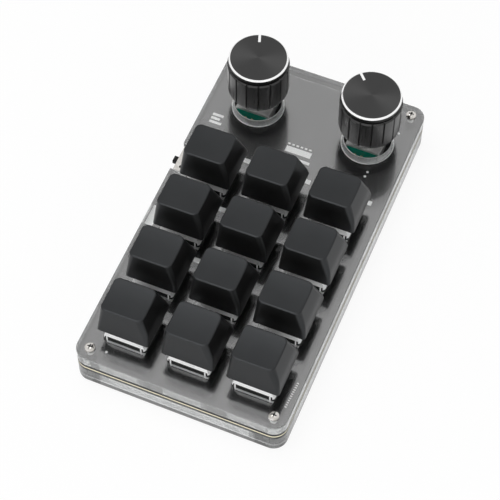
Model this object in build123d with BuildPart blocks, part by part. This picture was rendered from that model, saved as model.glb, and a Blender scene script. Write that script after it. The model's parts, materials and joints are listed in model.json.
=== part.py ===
from build123d import *
import os
from math import atan2, cos, degrees, hypot, radians

# A one-handed keyboard: twelve sprung keys and two push-and-turn dials on a circuit board,
# clamped between clear acrylic layers. Millimetres, +Z up, +Y towards the dials.
# The origin is on the desk, under the middle of the plates.

# Plates, from the desk upwards
board_width = 76.0
board_length = 140.0
corner_radius = 5.0
foot_height = 1.5
base_thickness = 3.0
frame_height = 5.0
board_thickness = 2.0
plate_thickness = 5.0
polished_edge = 0.3
frame_wall = 4.0
corner_block = 12.5

# Places of the keys, dials, screws, feet and layer switch on the plates
key_columns = 3
key_rows = 4
column_pitch = 23.2
row_pitch = 22.5
key_front_setback = 17.26
key_offset = 0.3
dial_spacing = 42.5
dial_offset = 0.85
dial_setback = 19.55
left_pointer_angle = 20.0
right_pointer_angle = 43.0
screw_side_inset = 4.9
screw_end_inset = 4.5
foot_side_inset = 11.5
foot_end_inset = 12.5
layer_switch_setback = 52.7

# Clearances shared by the pieces, and the overrun of every cut
running_clearance = 0.05
sliding_clearance = 0.3
fit_clearance = 0.1
cut_overrun = 1.0

# Fasteners and feet
screw_diameter = 2.0
screw_head_diameter = 3.6
screw_head_height = 1.4
screw_head_side = 0.6
screw_recess_span = 1.9
screw_recess_width = 0.5
screw_recess_depth = 0.7
plate_screw_bite = 2.4
screw_tip_gap = 0.5
sunk_head_diameter = 3.8
standoff_across_flats = 4.0
standoff_room = 0.2
foot_diameter = 8.0
foot_edge = 0.4

# Key switch, with heights counted from the top of the plate
switch_body = 13.9
switch_corner = 0.8
switch_opening_corner = 0.5
flange_width = 15.6
flange_height = 1.0
cover_ledge = 2.0
switch_floor = 1.0
switch_post_diameter = 3.9
switch_post_length = 3.3
pole_room = 0.5
cover_base_width = 15.5
shoulder_room = 0.2
cover_corner = 1.0
cover_height = 6.4
cover_wall = 1.1
cover_roof = 1.4
lens_width = 5.2
lens_depth = 1.6
lens_drop = 0.6

# Sliding stem and spring of a key
key_travel = 4.0
stem_width = 7.0
stem_depth = 6.0
stem_shoulder_overlap = 0.4
stem_shoulder_height = 2.6
stem_cross_span = 4.0
stem_cross_thickness = 1.2
stem_cross_height = 3.6
pole_diameter = 2.9
pole_length = 2.8
spring_outer_diameter = 4.6
spring_inner_diameter = 3.4

# Keycap, with heights counted from the bottom of its skirt; its front is turned to the right
keycap_turn = 90.0
keycap_base = 18.1
keycap_base_corner = 1.0
keycap_top_corner = 2.2
keycap_front_height = 10.7
keycap_back_height = 10.4
keycap_side_inset = 2.35
keycap_front_inset = 2.4
keycap_back_inset = 0.55
keycap_wall = 1.3
keycap_ceiling = 1.5
keycap_dish = 0.3
keycap_edge_radius = 0.5
keycap_lift = 7.5
keycap_boss_wall = 0.75
boss_bite_share = 2 / 3

# Hot-swap socket and pins under each switch
pin_diameter = 1.2
pin_hole_room = 0.2
pin_tip = 0.5
left_pin_x = -3.81
left_pin_y = 2.54
right_pin_x = 2.54
right_pin_y = 5.08
socket_length = 9.8
socket_width = 5.6
socket_corner = 0.8
socket_height = 1.85

# Push-and-turn encoder under each dial, with heights counted from the board
encoder_opening_room = 0.45
encoder_wall = 0.75
encoder_floor = 0.7
bracket_thickness = 1.0
bracket_leg_thickness = 0.5
bracket_leg_width = 9.0
bracket_tab_width = 2.2
bracket_tab_length = 3.2
bush_wall = 0.45
bush_height = 7.0
shaft_diameter = 6.0
shaft_height = 20.0
rotor_diameter = 9.6
rotor_height = 1.2
rotor_headroom = 0.75
plunger_diameter = 5.0
plunger_height = 1.4
push_travel = 0.5
terminal_width = 0.9
terminal_foot = 1.0
terminal_height = 1.3
terminal_tail = 3.2
terminal_spacing = 2.5
switch_terminal_spacing = 5.0

# Dial, with heights counted from its lower rim
dial_lift = 8.0
dial_height = 17.5
dial_diameter = 21.5
dial_foot_inset = 0.55
dial_foot_height = 2.2
dial_collar_inset = 0.45
dial_chamfer = 0.7
dial_collar_height = 1.1
dial_groove_height = 0.8
dial_groove_inset = 0.85
dial_grip_chamfer = 0.5
flute_count = 16
flute_width = 0.7
flute_depth = 0.45
pointer_length = 3.2
pointer_width = 0.9
pointer_depth = 0.25
dial_counterbore_room = 1.0
dial_counterbore_depth = 2.0

# Three-position layer switch in a notch of the left edge
case_setback = 0.5
case_wall = 0.4
case_back_room = 0.7
case_end_room = 0.85
case_head_room = 0.6
case_edge = 0.3
case_hole_diameter = 1.2
case_hole_offset = 3.3
notch_room = 0.4
lever_width = 2.4
lever_height = 1.5
lever_reach = 1.4
lever_block_depth = 3.0
lever_block_length = 4.6
lever_block_height = 2.4
layer_step = 2.0

# Socket for the data cable, under the middle of the back edge
usb_width = 8.94
usb_depth = 7.35
usb_height = 3.2
usb_corner_share = 0.44
usb_wall = 0.3
usb_back_wall = 1.6
usb_tongue_width = 6.7
usb_tongue_height = 0.7
usb_tongue_length = 4.4

# Chips on the underside of the board: width, length, height, and place from the dial axes
chip_edge = 0.1
controller_size = 7.0
controller_height = 0.9
crystal_width = 3.2
crystal_length = 2.5
crystal_height = 0.8
regulator_width = 2.9
regulator_length = 1.6
regulator_height = 1.1
memory_width = 5.2
memory_length = 4.0
memory_height = 1.5
capacitor_width = 1.6
capacitor_length = 0.8
capacitor_height = 0.8
capacitor_pitch = 2.4
chip_row_pitch = 6.6

# Levels of the layers
base_bottom = foot_height
frame_bottom = base_bottom + base_thickness
board_bottom = frame_bottom + frame_height
board_top = board_bottom + board_thickness
plate_top = board_top + plate_thickness

# Centres on the plates
key_block_y = key_front_setback - board_length / 2 + (key_rows - 1) * row_pitch / 2
dial_y = board_length / 2 - dial_setback
dial_places = {"left": dial_offset - dial_spacing / 2, "right": dial_offset + dial_spacing / 2}
pointer_angles = {"left": left_pointer_angle, "right": right_pointer_angle}
screw_span_x = board_width - 2 * screw_side_inset
screw_span_y = board_length - 2 * screw_end_inset
foot_span_x = board_width - 2 * foot_side_inset
foot_span_y = board_length - 2 * foot_end_inset
left_edge = -board_width / 2
back_edge = board_length / 2
layer_switch_y = back_edge - layer_switch_setback
switch_pins = [(left_pin_x, left_pin_y), (right_pin_x, right_pin_y)]
key_places = {}
for row in range(key_rows):
    for column in range(key_columns):
        key_x = key_offset + (column - (key_columns - 1) / 2) * column_pitch
        key_y = key_block_y + ((key_rows - 1) / 2 - row) * row_pitch
        key_places[f"r{row + 1}c{column + 1}"] = (key_x, key_y)
key_centres = list(key_places.values())
dial_centres = [(x, dial_y) for x in dial_places.values()]
screw_hole = screw_diameter + 2 * fit_clearance

# Sizes that follow from the pieces that they fit
standoff_hole = standoff_across_flats / cos(radians(30)) + 2 * standoff_room
cover_top = flange_height + cover_height
opening_width = stem_width + 2 * sliding_clearance
opening_depth = stem_depth + 2 * sliding_clearance
shoulder_width = opening_width + 2 * stem_shoulder_overlap
shoulder_depth = opening_depth + 2 * stem_shoulder_overlap
shoulder_top = cover_top - cover_roof - sliding_clearance
shoulder_bottom = shoulder_top - stem_shoulder_height
cover_top_width = shoulder_width + 2 * (cover_wall + shoulder_room)
switch_cavity = cover_base_width - 2 * cover_ledge
spring_seat = switch_floor - plate_thickness
pole_reach = shoulder_bottom - pole_length - key_travel - pole_room
socket_span = stem_cross_span + 2 * running_clearance
socket_slot = stem_cross_thickness + 2 * running_clearance
boss_diameter = socket_span + 2 * keycap_boss_wall
boss_bottom = cover_top + fit_clearance - keycap_lift
encoder_bore = rotor_diameter + 2 * sliding_clearance
encoder_body = encoder_bore + 2 * encoder_wall
plunger_bottom = encoder_floor + push_travel + running_clearance
rotor_bottom = plunger_bottom + plunger_height
encoder_height = rotor_bottom + rotor_height + rotor_headroom
bracket_width = encoder_body + 2 * bracket_leg_thickness
encoder_opening = hypot(bracket_width, encoder_body) + 2 * encoder_opening_room
shaft_bore = shaft_diameter + 2 * running_clearance
bush_diameter = shaft_bore + 2 * bush_wall
case_depth = lever_block_depth + fit_clearance + case_back_room + 2 * case_wall
case_length = lever_block_length + 2 * (layer_step + case_end_room + case_wall)
case_height = fit_clearance + lever_block_height + case_head_room + case_wall
usb_corner = usb_height * usb_corner_share

os.makedirs("parts", exist_ok=True)


def save(part, name):
    """Label a finished piece and write it as its own file."""
    part.label = name
    export_step(part, f"parts/{name}.step")


def plate_outline():
    """The rounded outline that all the layers share, drawn in the open sketch."""
    RectangleRounded(board_width, board_length, corner_radius)


def polish_rim(part):
    """Break the long outer edges of a clear plate, top and bottom."""
    ends = part.faces().filter_by(Axis.Z).sort_by(Axis.Z)
    rims = ends[0].outer_wire().edges() + ends[-1].outer_wire().edges()
    chamfer(rims, polished_edge)


# Bottom plate, with sunk holes for the lower screws
with BuildPart() as bottom_plate:
    with BuildSketch(Plane.XY.offset(base_bottom)):
        plate_outline()
    extrude(amount=base_thickness)
    polish_rim(bottom_plate.part)
    with Locations(Location((0, 0, base_bottom), (180, 0, 0))):
        with GridLocations(screw_span_x, screw_span_y, 2, 2):
            CounterSinkHole(screw_hole / 2, sunk_head_diameter / 2 + fit_clearance, counter_sink_angle=90)
save(bottom_plate.part, "bottom_plate")

# Middle frame: a ring with solid corners, clear of the encoders' tabs and notched for the data socket
bracket_leg_x = encoder_body / 2 + bracket_leg_thickness / 2
usb_notch_width = usb_width + 2 * sliding_clearance
usb_notch_height = usb_height + sliding_clearance
with BuildPart() as middle_frame:
    with BuildSketch(Plane.XY.offset(frame_bottom)):
        plate_outline()
        Rectangle(board_width - 2 * frame_wall, board_length - 2 * corner_block, mode=Mode.SUBTRACT)
        Rectangle(board_width - 2 * corner_block, board_length - 2 * frame_wall, mode=Mode.SUBTRACT)
        with GridLocations(screw_span_x, screw_span_y, 2, 2):
            Circle(standoff_hole / 2, mode=Mode.SUBTRACT)
        with Locations(*dial_centres):
            with GridLocations(2 * bracket_leg_x, 0, 2, 1):
                Rectangle(
                    bracket_leg_thickness + 2 * sliding_clearance,
                    bracket_tab_width + 2 * sliding_clearance,
                    mode=Mode.SUBTRACT,
                )
    extrude(amount=frame_height)
    polish_rim(middle_frame.part)
    with BuildSketch(Plane.XY.offset(board_bottom)):
        with Locations((0, back_edge)):
            Rectangle(usb_notch_width, 2 * usb_depth)
    extrude(amount=-usb_notch_height, mode=Mode.SUBTRACT)
save(middle_frame.part, "middle_frame")

# Circuit board, with holes for pins, posts, encoder terminals and screws
terminal_row = encoder_body / 2 + terminal_foot / 2
terminal_places = []
for x, y in dial_centres:
    for step in (-1, 0, 1):
        terminal_places.append((x + step * terminal_spacing, y - terminal_row))
    for step in (-1, 1):
        terminal_places.append((x + step * switch_terminal_spacing / 2, y + terminal_row))
with BuildPart() as circuit_board:
    with BuildSketch(Plane.XY.offset(board_bottom)):
        plate_outline()
        with Locations(*key_centres):
            Circle(switch_post_diameter / 2 + fit_clearance, mode=Mode.SUBTRACT)
            with Locations(*switch_pins):
                Circle(pin_diameter / 2 + pin_hole_room, mode=Mode.SUBTRACT)
        with Locations(*terminal_places):
            Circle(hypot(terminal_width, terminal_width) / 2 + fit_clearance, mode=Mode.SUBTRACT)
        with Locations(*dial_centres):
            with GridLocations(2 * bracket_leg_x, 0, 2, 1):
                Rectangle(
                    bracket_leg_thickness + 2 * fit_clearance,
                    bracket_tab_width + 2 * fit_clearance,
                    mode=Mode.SUBTRACT,
                )
        with GridLocations(screw_span_x, screw_span_y, 2, 2):
            Circle(screw_hole / 2, mode=Mode.SUBTRACT)
    extrude(amount=board_thickness)
save(circuit_board.part, "circuit_board")

# Top plate, which holds the switches and clears the encoders and the layer switch
switch_opening = switch_body + 2 * running_clearance
notch_depth = case_setback + case_depth + notch_room
with BuildPart() as top_plate:
    with BuildSketch(Plane.XY.offset(board_top)):
        plate_outline()
        with Locations(*key_centres):
            RectangleRounded(switch_opening, switch_opening, switch_opening_corner, mode=Mode.SUBTRACT)
        with Locations(*dial_centres):
            Circle(encoder_opening / 2, mode=Mode.SUBTRACT)
        with GridLocations(screw_span_x, screw_span_y, 2, 2):
            Circle(screw_hole / 2, mode=Mode.SUBTRACT)
        with Locations((left_edge, layer_switch_y)):
            Rectangle(2 * notch_depth, case_length + 2 * notch_room, mode=Mode.SUBTRACT)
    extrude(amount=plate_thickness)
    polish_rim(top_plate.part)
save(top_plate.part, "top_plate")

# Upper screw: a domed head with a cross recess
plate_screw_end = board_bottom - plate_screw_bite
with BuildPart() as plate_screw:
    with BuildSketch(Plane.XZ):
        with BuildLine():
            Polyline(
                (0, plate_screw_end),
                (screw_diameter / 2, plate_screw_end),
                (screw_diameter / 2, plate_top),
                (screw_head_diameter / 2, plate_top),
                (screw_head_diameter / 2, plate_top + screw_head_side),
            )
            SagittaArc(
                (screw_head_diameter / 2, plate_top + screw_head_side),
                (0, plate_top + screw_head_height),
                -(screw_head_height - screw_head_side) / 4,
            )
            Line((0, plate_top + screw_head_height), (0, plate_screw_end))
        make_face()
    revolve(axis=Axis.Z)
    with BuildSketch(Plane.XY.offset(plate_top + screw_head_height)):
        Rectangle(screw_recess_span, screw_recess_width)
        Rectangle(screw_recess_width, screw_recess_span)
    extrude(amount=-screw_recess_depth, mode=Mode.SUBTRACT)
with BuildPart() as plate_screws:
    with GridLocations(screw_span_x, screw_span_y, 2, 2):
        add(plate_screw.part)
save(plate_screws.part, "plate_screws")

# Lower screw: a flat head sunk flush in the bottom plate
base_screw_end = plate_screw_end - screw_tip_gap
sunk_head_height = (sunk_head_diameter - screw_diameter) / 2
with BuildPart() as base_screw:
    with BuildSketch(Plane.XZ):
        with BuildLine():
            Polyline(
                (0, base_bottom),
                (sunk_head_diameter / 2, base_bottom),
                (screw_diameter / 2, base_bottom + sunk_head_height),
                (screw_diameter / 2, base_screw_end),
                (0, base_screw_end),
                close=True,
            )
        make_face()
    revolve(axis=Axis.Z)
    with BuildSketch(Plane.XY.offset(base_bottom)):
        Rectangle(screw_recess_span, screw_recess_width)
        Rectangle(screw_recess_width, screw_recess_span)
    extrude(amount=screw_recess_depth, mode=Mode.SUBTRACT)
with BuildPart() as base_screws:
    with GridLocations(screw_span_x, screw_span_y, 2, 2):
        add(base_screw.part)
save(base_screws.part, "base_screws")

# Hexagonal threaded standoffs in the corners of the frame
with BuildPart() as standoffs:
    with BuildSketch(Plane.XY.offset(frame_bottom)):
        with GridLocations(screw_span_x, screw_span_y, 2, 2):
            RegularPolygon(standoff_across_flats / 2, 6, major_radius=False)
            Circle(screw_diameter / 2 + running_clearance, mode=Mode.SUBTRACT)
    extrude(amount=frame_height)
save(standoffs.part, "standoffs")

# Round rubber feet under the bottom plate
with BuildPart() as rubber_feet:
    with BuildSketch():
        with GridLocations(foot_span_x, foot_span_y, 2, 2):
            Circle(foot_diameter / 2)
    extrude(amount=foot_height)
    chamfer(rubber_feet.faces().filter_by(Axis.Z).group_by(Axis.Z)[0].edges(), foot_edge)
save(rubber_feet.part, "rubber_feet")

# Lower half of a key switch, open at the top, with a guide post through the board
with BuildPart() as switch_base:
    with BuildSketch(Plane.XY.offset(-plate_thickness)):
        RectangleRounded(switch_body, switch_body, switch_corner)
    extrude(amount=plate_thickness)
    with BuildSketch():
        RectangleRounded(flange_width, flange_width, switch_corner)
    extrude(amount=flange_height)
    with BuildSketch(Plane.XY.offset(-plate_thickness)):
        Circle(switch_post_diameter / 2)
    extrude(amount=-switch_post_length)
    with BuildSketch(Plane.XY.offset(flange_height)):
        Rectangle(switch_cavity, switch_cavity)
    extrude(amount=-(flange_height + plate_thickness - switch_floor), mode=Mode.SUBTRACT)
    with BuildSketch(Plane.XY.offset(spring_seat)):
        Circle(pole_diameter / 2 + running_clearance)
    extrude(amount=pole_reach - spring_seat, mode=Mode.SUBTRACT)
with BuildPart() as switch_bases:
    with Locations(*[(x, y, plate_top) for x, y in key_centres]):
        add(switch_base.part)
save(switch_bases.part, "switch_bases")

# Tapered clear upper half of a key switch, with the stem's opening and a lens window
cover_inner_base = cover_base_width - 2 * cover_wall
cover_inner_top = cover_top_width - 2 * cover_wall
lens_y = -(opening_depth + cover_top_width) / 4
with BuildPart() as switch_cover:
    with BuildSketch(Plane.XY.offset(flange_height)):
        RectangleRounded(cover_base_width, cover_base_width, cover_corner)
    with BuildSketch(Plane.XY.offset(cover_top)):
        RectangleRounded(cover_top_width, cover_top_width, cover_corner)
    loft()
    with BuildSketch(Plane.XY.offset(flange_height)):
        Rectangle(cover_inner_base, cover_inner_base)
    with BuildSketch(Plane.XY.offset(cover_top - cover_roof)):
        Rectangle(cover_inner_top, cover_inner_top)
    loft(mode=Mode.SUBTRACT)
    with BuildSketch(Plane.XY.offset(cover_top)):
        Rectangle(opening_width, opening_depth)
    extrude(amount=-cover_roof - cut_overrun, mode=Mode.SUBTRACT)
    with BuildSketch(Plane.XY.offset(cover_top)):
        with Locations((0, lens_y)):
            Rectangle(lens_width, lens_depth)
    extrude(amount=-lens_drop, mode=Mode.SUBTRACT)
with BuildPart() as switch_covers:
    with Locations(*[(x, y, plate_top) for x, y in key_centres]):
        add(switch_cover.part)
save(switch_covers.part, "switch_covers")

# Sliding stem of a key: shoulder under the cover, block in its opening, cross above, pole below
with BuildPart() as stem:
    with BuildSketch(Plane.XY.offset(shoulder_bottom)):
        Rectangle(shoulder_width, shoulder_depth)
    extrude(amount=stem_shoulder_height)
    with BuildSketch(Plane.XY.offset(shoulder_top)):
        Rectangle(stem_width, stem_depth)
    extrude(amount=cover_top - shoulder_top)
    with BuildSketch(Plane.XY.offset(cover_top)):
        Rectangle(stem_cross_span, stem_cross_thickness)
        Rectangle(stem_cross_thickness, stem_cross_span)
    extrude(amount=stem_cross_height)
    with BuildSketch(Plane.XY.offset(shoulder_bottom)):
        Circle(pole_diameter / 2)
    extrude(amount=-pole_length)

# Return spring of a key, between the floor of the switch and the stem's shoulder
with BuildPart() as spring:
    with BuildSketch(Plane.XY.offset(spring_seat)):
        Circle(spring_outer_diameter / 2)
        Circle(spring_inner_diameter / 2, mode=Mode.SUBTRACT)
    extrude(amount=shoulder_bottom - spring_seat)

# Keycap: a hollow tapered cap with a leaning, dished top and a cross socket for the stem
cap_front = keycap_front_inset - keycap_base / 2
cap_back = keycap_base / 2 - keycap_back_inset
cap_rise = keycap_back_height - keycap_front_height
cap_run = cap_back - cap_front
cap_lean = degrees(atan2(cap_rise, cap_run))
cap_middle = (keycap_front_height + keycap_back_height) / 2
cap_top_width = keycap_base - 2 * keycap_side_inset
cap_top_depth = hypot(cap_rise, cap_run)
cap_plane = Plane(Location((0, (cap_front + cap_back) / 2, cap_middle), (cap_lean, 0, 0)))
cap_inner_base = keycap_base - 2 * keycap_wall
dish_radius = (cap_top_width**2 / 4 + keycap_dish**2) / (2 * keycap_dish)
boss_top = cap_middle - keycap_ceiling * boss_bite_share
with BuildPart() as keycap:
    with BuildSketch():
        RectangleRounded(keycap_base, keycap_base, keycap_base_corner)
    with BuildSketch(cap_plane):
        RectangleRounded(cap_top_width, cap_top_depth, keycap_top_corner)
    loft()
    dish_plane = Plane(cap_plane.origin, x_dir=cap_plane.x_dir, z_dir=-cap_plane.y_dir)
    with BuildSketch(dish_plane):
        with Locations((0, dish_radius - keycap_dish)):
            Circle(dish_radius)
    extrude(amount=keycap_base, both=True, mode=Mode.SUBTRACT)
    crown = keycap.faces().filter_by(GeomType.CYLINDER).sort_by(SortBy.AREA)[-1]
    fillet(crown.edges(), keycap_edge_radius)
    with BuildSketch():
        Rectangle(cap_inner_base, cap_inner_base)
    with BuildSketch(cap_plane.offset(-keycap_ceiling)):
        Rectangle(cap_top_width - 2 * keycap_wall, cap_top_depth - 2 * keycap_wall)
    loft(mode=Mode.SUBTRACT)
    with BuildSketch(Plane.XY.offset(boss_bottom)):
        Circle(boss_diameter / 2)
    extrude(amount=boss_top - boss_bottom)
    with BuildSketch(Plane.XY.offset(boss_bottom)):
        Rectangle(socket_span, socket_slot)
        Rectangle(socket_slot, socket_span)
    extrude(amount=stem_cross_height + fit_clearance, mode=Mode.SUBTRACT)

# The stem, spring and keycap of every key
for name, (x, y) in key_places.items():
    save(stem.part.moved(Location((x, y, plate_top))), f"stem_{name}")
    save(spring.part.moved(Location((x, y, plate_top))), f"spring_{name}")
    placed_cap = Location((x, y, plate_top + keycap_lift), (0, 0, keycap_turn))
    save(keycap.part.moved(placed_cap), f"keycap_{name}")

# Hot-swap sockets under the board, hollowed round the guide posts
socket_x = (left_pin_x + right_pin_x) / 2
socket_y = (left_pin_y + right_pin_y) / 2
pin_bore = pin_diameter + 2 * running_clearance
with BuildPart() as hot_swap_sockets:
    with BuildSketch(Plane.XY.offset(board_bottom)):
        with Locations(*key_centres):
            with Locations((socket_x, socket_y)):
                RectangleRounded(socket_length, socket_width, socket_corner)
            Circle(switch_post_diameter / 2 + sliding_clearance, mode=Mode.SUBTRACT)
            with Locations(*switch_pins):
                Circle(pin_bore / 2, mode=Mode.SUBTRACT)
    extrude(amount=-socket_height)
save(hot_swap_sockets.part, "hot_swap_sockets")

# Metal pins of the switches and terminals of the encoders
with BuildPart() as contact_pins:
    with BuildSketch(Plane.XY.offset(board_top)):
        with Locations(*key_centres):
            with Locations(*switch_pins):
                Circle(pin_diameter / 2)
    extrude(amount=-(board_thickness + socket_height + pin_tip))
    with BuildSketch(Plane.XY.offset(board_top)):
        with Locations(*terminal_places):
            Rectangle(terminal_width, terminal_width)
    extrude(amount=-terminal_tail)
    with BuildSketch(Plane.XY.offset(board_top)):
        with Locations(*terminal_places):
            Rectangle(terminal_width, terminal_foot)
    extrude(amount=terminal_height)
save(contact_pins.part, "contact_pins")

# Plastic base of each encoder, bored for the rotor
with BuildPart() as encoder_bases:
    with BuildSketch(Plane.XY.offset(board_top)):
        with Locations(*dial_centres):
            Rectangle(encoder_body, encoder_body)
    extrude(amount=encoder_height)
    with BuildSketch(Plane.XY.offset(board_top + encoder_floor)):
        with Locations(*dial_centres):
            Circle(encoder_bore / 2)
    extrude(amount=encoder_height, mode=Mode.SUBTRACT)
save(encoder_bases.part, "encoder_bases")

# Metal bracket of each encoder: a roof with the shaft's bush, two side legs and their tabs
bracket_bottom = board_top + encoder_height
bracket_top = bracket_bottom + bracket_thickness
with BuildPart() as encoder_brackets:
    with BuildSketch(Plane.XY.offset(bracket_bottom)):
        with Locations(*dial_centres):
            Rectangle(bracket_width, encoder_body)
    extrude(amount=bracket_thickness)
    with BuildSketch(Plane.XY.offset(bracket_top)):
        with Locations(*dial_centres):
            Circle(bush_diameter / 2)
    extrude(amount=bush_height)
    with BuildSketch(Plane.XY.offset(board_top)):
        with Locations(*dial_centres):
            with GridLocations(2 * bracket_leg_x, 0, 2, 1):
                Rectangle(bracket_leg_thickness, bracket_leg_width)
    extrude(amount=encoder_height)
    with BuildSketch(Plane.XY.offset(board_top)):
        with Locations(*dial_centres):
            with GridLocations(2 * bracket_leg_x, 0, 2, 1):
                Rectangle(bracket_leg_thickness, bracket_tab_width)
    extrude(amount=-bracket_tab_length)
    with BuildSketch(Plane.XY.offset(bracket_bottom)):
        with Locations(*dial_centres):
            Circle(shaft_bore / 2)
    extrude(amount=bracket_thickness + bush_height, mode=Mode.SUBTRACT)
save(encoder_brackets.part, "encoder_brackets")

# Push plunger, shaft with its rotor, and dial of each encoder
shaft_top = encoder_height + bracket_thickness + shaft_height
with BuildPart() as plunger:
    with BuildSketch(Plane.XY.offset(plunger_bottom)):
        Circle(plunger_diameter / 2)
    extrude(amount=plunger_height)
with BuildPart() as shaft:
    with BuildSketch(Plane.XY.offset(rotor_bottom)):
        Circle(rotor_diameter / 2)
    extrude(amount=rotor_height)
    with BuildSketch(Plane.XY.offset(rotor_bottom)):
        Circle(shaft_diameter / 2)
    extrude(amount=shaft_top - rotor_bottom)

grip_radius = dial_diameter / 2
collar_radius = grip_radius - dial_collar_inset
groove_radius = grip_radius - dial_groove_inset
crown_radius = collar_radius - dial_chamfer
grip_top = dial_height - dial_chamfer - dial_collar_height - dial_groove_height
groove_top = grip_top + dial_groove_height
collar_top = dial_height - dial_chamfer
dial_bore_depth = board_top + shaft_top - plate_top - dial_lift + fit_clearance
with BuildPart() as dial:
    with BuildSketch(Plane.XZ):
        with BuildLine():
            Polyline(
                (0, 0),
                (grip_radius - dial_foot_inset, 0),
                (grip_radius, dial_foot_height),
                (grip_radius, grip_top - dial_grip_chamfer),
                (grip_radius - dial_grip_chamfer, grip_top),
                (groove_radius, grip_top),
                (groove_radius, groove_top),
                (collar_radius, groove_top),
                (collar_radius, collar_top),
                (crown_radius, dial_height),
                (0, dial_height),
                close=True,
            )
        make_face()
    revolve(axis=Axis.Z)
    with BuildSketch():
        with PolarLocations(grip_radius, flute_count):
            Rectangle(2 * flute_depth, flute_width)
    extrude(amount=grip_top, mode=Mode.SUBTRACT)
    with BuildSketch(Plane.XY.offset(dial_height)):
        with Locations((0, crown_radius - pointer_length / 2)):
            Rectangle(pointer_width, pointer_length)
    extrude(amount=-pointer_depth, mode=Mode.SUBTRACT)
    with BuildSketch():
        Circle(shaft_bore / 2)
    extrude(amount=dial_bore_depth, mode=Mode.SUBTRACT)
    with BuildSketch():
        Circle(bush_diameter / 2 + dial_counterbore_room)
    extrude(amount=dial_counterbore_depth, mode=Mode.SUBTRACT)
for side, x in dial_places.items():
    save(plunger.part.moved(Location((x, dial_y, board_top))), f"plunger_{side}")
    save(shaft.part.moved(Location((x, dial_y, board_top))), f"shaft_{side}")
    placed_dial = Location((x, dial_y, plate_top + dial_lift), (0, 0, pointer_angles[side]))
    save(dial.part.moved(placed_dial), f"dial_{side}")

# Case of the layer switch: a thin metal lid on the board, slotted for the lever
case_front = left_edge + case_setback
case_x = case_front + case_depth / 2
slot_length = lever_width + 2 * layer_step + 2 * sliding_clearance
slot_height = lever_height + 2 * fit_clearance
lever_level = lever_block_height / 2 + fit_clearance
with BuildPart() as layer_switch_case:
    with BuildSketch(Plane.XY.offset(board_top)):
        with Locations((case_x, layer_switch_y)):
            Rectangle(case_depth, case_length)
    extrude(amount=case_height)
    lid_edges = layer_switch_case.faces().sort_by(Axis.Z)[-1].edges()
    fillet(lid_edges, case_edge)
    with BuildSketch(Plane.XY.offset(board_top)):
        with Locations((case_x, layer_switch_y)):
            Rectangle(case_depth - 2 * case_wall, case_length - 2 * case_wall)
    extrude(amount=case_height - case_wall, mode=Mode.SUBTRACT)
    with BuildSketch(Plane.YZ.offset(case_front)):
        with Locations((layer_switch_y, board_top + lever_level)):
            Rectangle(slot_length, slot_height)
    extrude(amount=2 * case_wall, both=True, mode=Mode.SUBTRACT)
    with BuildSketch(Plane.XY.offset(board_top + case_height)):
        with Locations((case_x, layer_switch_y - case_hole_offset)):
            Circle(case_hole_diameter / 2)
    extrude(amount=-2 * case_wall, mode=Mode.SUBTRACT)
save(layer_switch_case.part, "layer_switch_case")

# Lever of the layer switch: a block inside the case and a tab past the edge of the plates
block_x = case_front + case_wall + fit_clearance + lever_block_depth / 2
tab_length = lever_reach + case_setback + case_wall + fit_clearance
with BuildPart() as layer_switch_lever:
    with BuildSketch(Plane.XY.offset(board_top + fit_clearance)):
        with Locations((block_x, layer_switch_y)):
            Rectangle(lever_block_depth, lever_block_length)
    extrude(amount=lever_block_height)
    with BuildSketch(Plane.YZ.offset(block_x - lever_block_depth / 2)):
        with Locations((layer_switch_y, board_top + lever_level)):
            Rectangle(lever_width, lever_height)
    extrude(amount=-tab_length)
save(layer_switch_lever.part, "layer_switch_lever")

# Data socket under the back edge: a rounded shell, a closed back and the contact tongue
usb_axis = board_bottom - usb_height / 2
with BuildPart() as usb_socket:
    with BuildSketch(Plane.XZ.offset(-back_edge)):
        with Locations((0, usb_axis)):
            RectangleRounded(usb_width, usb_height, usb_corner)
    extrude(amount=usb_depth)
    with BuildSketch(Plane.XZ.offset(-back_edge)):
        with Locations((0, usb_axis)):
            RectangleRounded(usb_width - 2 * usb_wall, usb_height - 2 * usb_wall, usb_corner - usb_wall)
    extrude(amount=usb_depth - usb_back_wall, mode=Mode.SUBTRACT)
    with BuildSketch(Plane.XZ.offset(usb_depth - back_edge)):
        with Locations((0, usb_axis)):
            Rectangle(usb_tongue_width, usb_tongue_height)
    extrude(amount=-(usb_back_wall + usb_tongue_length))
save(usb_socket.part, "usb_socket")

# Controller, crystal, regulator, memory and a row of capacitors under the board
chips = [
    (0, 0, controller_size, controller_size, controller_height),
    (-chip_row_pitch, 0, crystal_width, crystal_length, crystal_height),
    (chip_row_pitch, 0, regulator_width, regulator_length, regulator_height),
    (0, chip_row_pitch, memory_width, memory_length, memory_height),
]
for step in range(4):
    capacitor_x = (step - 3 / 2) * capacitor_pitch
    chips.append((capacitor_x, -chip_row_pitch, capacitor_width, capacitor_length, capacitor_height))
with BuildPart() as board_chips:
    for x, y, width, length, height in chips:
        with BuildSketch(Plane.XY.offset(board_bottom)):
            with Locations((x, dial_y + y)):
                Rectangle(width, length)
        extrude(amount=-height)
    chip_tops = board_chips.faces().filter_by(Axis.Z).filter_by(lambda face: face.center().Z < board_bottom)
    chamfer(chip_tops.edges(), chip_edge)
save(board_chips.part, "board_chips")
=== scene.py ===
# %% [markdown]
# # A one-handed keyboard in clear acrylic
# The imported solids come in first, as a fixed frame in metres. Everything made later is placed by the
# boxes of those solids, so nothing has to be fitted by eye.

# %% Load the solids
import json
import math

import bmesh
import bpy
from mathutils import Matrix, Vector


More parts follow.
